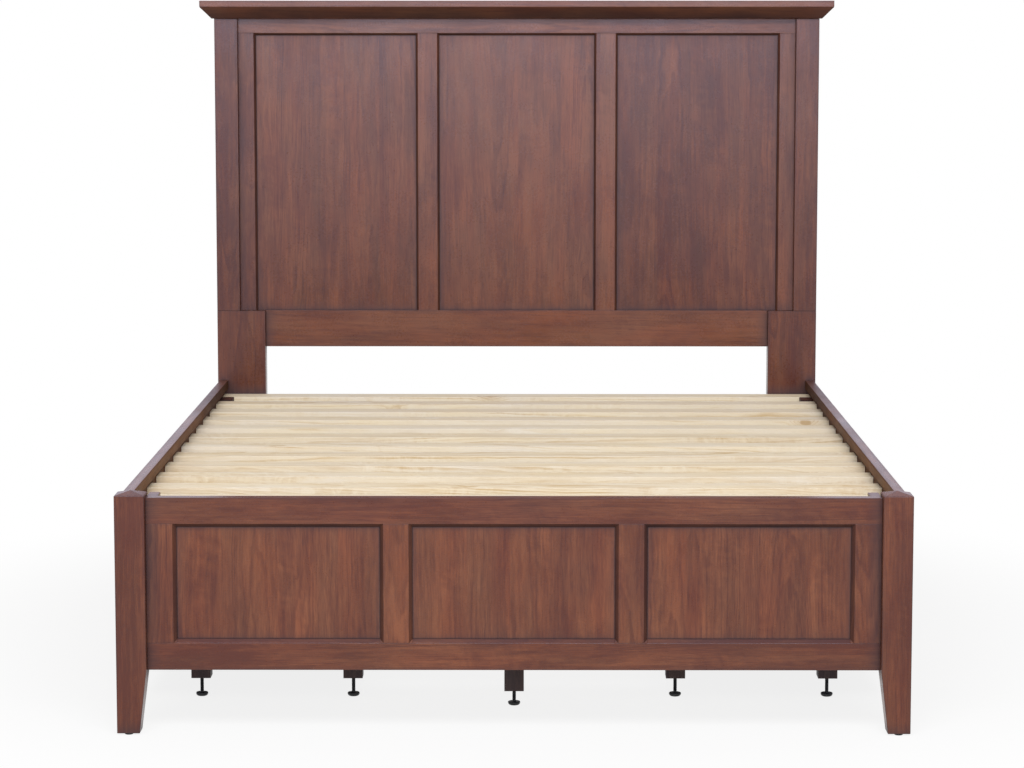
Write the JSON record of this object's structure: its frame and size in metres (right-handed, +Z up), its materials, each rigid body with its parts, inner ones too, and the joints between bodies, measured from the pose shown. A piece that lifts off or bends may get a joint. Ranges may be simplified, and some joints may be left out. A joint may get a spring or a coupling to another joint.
{
  "type": "platform storage bed",
  "caption": "Wooden platform bed with panelled headboard and footboard, open slat deck, side rails, and drawers that slide out under both sides; legs with levelling feet.",
  "frame": {"origin": "on the floor, under the middle of the bed's box", "axes": "+Z up, +Y from the foot of the bed to the head, +X to the right seen from the foot"},
  "size_m": [1.712, 2.168, 1.528],
  "materials": {
    "walnut_stain": "stained solid wood, satin lacquer",
    "dark_stain": "dark brown stained wood, satin",
    "pale_wood": "bare planed pale wood, matt",
    "black_metal": "black painted steel, satin",
    "black_plastic": "black moulded plastic"
  },
  "bodies": {
    "bed_frame": {"centre_beam": "dark_stain", "drawer_case_left": "dark_stain", "drawer_case_right": "dark_stain", "foot_glide_left": "black_plastic", "foot_glide_right": "black_plastic", "footboard_bottom_rail": "walnut_stain", "footboard_mullion_left": "walnut_stain", "footboard_mullion_right": "walnut_stain", "footboard_panel_centre": "walnut_stain", "footboard_panel_left": "walnut_stain", "footboard_panel_right": "walnut_stain", "footboard_post_left": "walnut_stain", "footboard_post_right": "walnut_stain", "footboard_stile_left": "walnut_stain", "footboard_stile_right": "walnut_stain", "footboard_top_rail": "walnut_stain", "headboard_bottom_rail": "walnut_stain", "headboard_crown": "walnut_stain", "headboard_leg_left": "walnut_stain", "headboard_leg_right": "walnut_stain", "headboard_mullion_left": "walnut_stain", "headboard_mullion_right": "walnut_stain", "headboard_panel_centre": "walnut_stain", "headboard_panel_left": "walnut_stain", "headboard_panel_right": "walnut_stain", "headboard_post_left": "walnut_stain", "headboard_post_right": "walnut_stain", "headboard_stile_left": "walnut_stain", "headboard_stile_right": "walnut_stain", "headboard_top_rail": "walnut_stain", "side_rail_left": "walnut_stain", "side_rail_right": "walnut_stain", "slat_01": "pale_wood", "slat_02": "pale_wood", "slat_03": "pale_wood", "slat_04": "pale_wood", "slat_05": "pale_wood", "slat_06": "pale_wood", "slat_07": "pale_wood", "slat_08": "pale_wood", "slat_09": "pale_wood", "slat_10": "pale_wood", "slat_11": "pale_wood", "slat_12": "pale_wood", "slat_13": "pale_wood"},
    "drawer_left_foot": {"drawer_left_foot": "walnut_stain"},
    "drawer_left_head": {"drawer_left_head": "walnut_stain"},
    "drawer_right_foot": {"drawer_right_foot": "walnut_stain"},
    "drawer_right_head": {"drawer_right_head": "walnut_stain"},
    "leveller_centre_foot": {"leveller_centre_foot": "black_metal"},
    "leveller_centre_head": {"leveller_centre_head": "black_metal"},
    "leveller_centre_middle": {"leveller_centre_middle": "black_metal"},
    "leveller_left_foot_inner": {"leveller_left_foot_inner": "black_metal"},
    "leveller_left_foot_outer": {"leveller_left_foot_outer": "black_metal"},
    "leveller_left_head_inner": {"leveller_left_head_inner": "black_metal"},
    "leveller_left_head_outer": {"leveller_left_head_outer": "black_metal"},
    "leveller_right_foot_inner": {"leveller_right_foot_inner": "black_metal"},
    "leveller_right_foot_outer": {"leveller_right_foot_outer": "black_metal"},
    "leveller_right_head_inner": {"leveller_right_head_inner": "black_metal"},
    "leveller_right_head_outer": {"leveller_right_head_outer": "black_metal"}
  },
  "joints": [
    {"name": "drawer_left_foot_slide", "type": "slide", "parent": "bed_frame", "child": "drawer_left_foot", "axis": [-1, 0, 0], "range_m": [0, 0.35]},
    {"name": "drawer_left_head_slide", "type": "slide", "parent": "bed_frame", "child": "drawer_left_head", "axis": [-1, 0, 0], "range_m": [0, 0.35]},
    {"name": "drawer_right_foot_slide", "type": "slide", "parent": "bed_frame", "child": "drawer_right_foot", "axis": [1, 0, 0], "range_m": [0, 0.35]},
    {"name": "drawer_right_head_slide", "type": "slide", "parent": "bed_frame", "child": "drawer_right_head", "axis": [1, 0, 0], "range_m": [0, 0.35]},
    {"name": "leveller_centre_foot_screw", "type": "slide", "parent": "bed_frame", "child": "leveller_centre_foot", "axis": [0, 0, -1], "range_m": [-0.022, 0.008]},
    {"name": "leveller_centre_head_screw", "type": "slide", "parent": "bed_frame", "child": "leveller_centre_head", "axis": [0, 0, -1], "range_m": [-0.022, 0.008]},
    {"name": "leveller_centre_middle_screw", "type": "slide", "parent": "bed_frame", "child": "leveller_centre_middle", "axis": [0, 0, -1], "range_m": [-0.022, 0.008]},
    {"name": "leveller_left_foot_inner_screw", "type": "slide", "parent": "bed_frame", "child": "leveller_left_foot_inner", "axis": [0, 0, -1], "range_m": [-0.022, 0.008]},
    {"name": "leveller_left_foot_outer_screw", "type": "slide", "parent": "bed_frame", "child": "leveller_left_foot_outer", "axis": [0, 0, -1], "range_m": [-0.022, 0.008]},
    {"name": "leveller_left_head_inner_screw", "type": "slide", "parent": "bed_frame", "child": "leveller_left_head_inner", "axis": [0, 0, -1], "range_m": [-0.022, 0.008]},
    {"name": "leveller_left_head_outer_screw", "type": "slide", "parent": "bed_frame", "child": "leveller_left_head_outer", "axis": [0, 0, -1], "range_m": [-0.022, 0.008]},
    {"name": "leveller_right_foot_inner_screw", "type": "slide", "parent": "bed_frame", "child": "leveller_right_foot_inner", "axis": [0, 0, -1], "range_m": [-0.022, 0.008]},
    {"name": "leveller_right_foot_outer_screw", "type": "slide", "parent": "bed_frame", "child": "leveller_right_foot_outer", "axis": [0, 0, -1], "range_m": [-0.022, 0.008]},
    {"name": "leveller_right_head_inner_screw", "type": "slide", "parent": "bed_frame", "child": "leveller_right_head_inner", "axis": [0, 0, -1], "range_m": [-0.022, 0.008]},
    {"name": "leveller_right_head_outer_screw", "type": "slide", "parent": "bed_frame", "child": "leveller_right_head_outer", "axis": [0, 0, -1], "range_m": [-0.022, 0.008]}
  ]
}
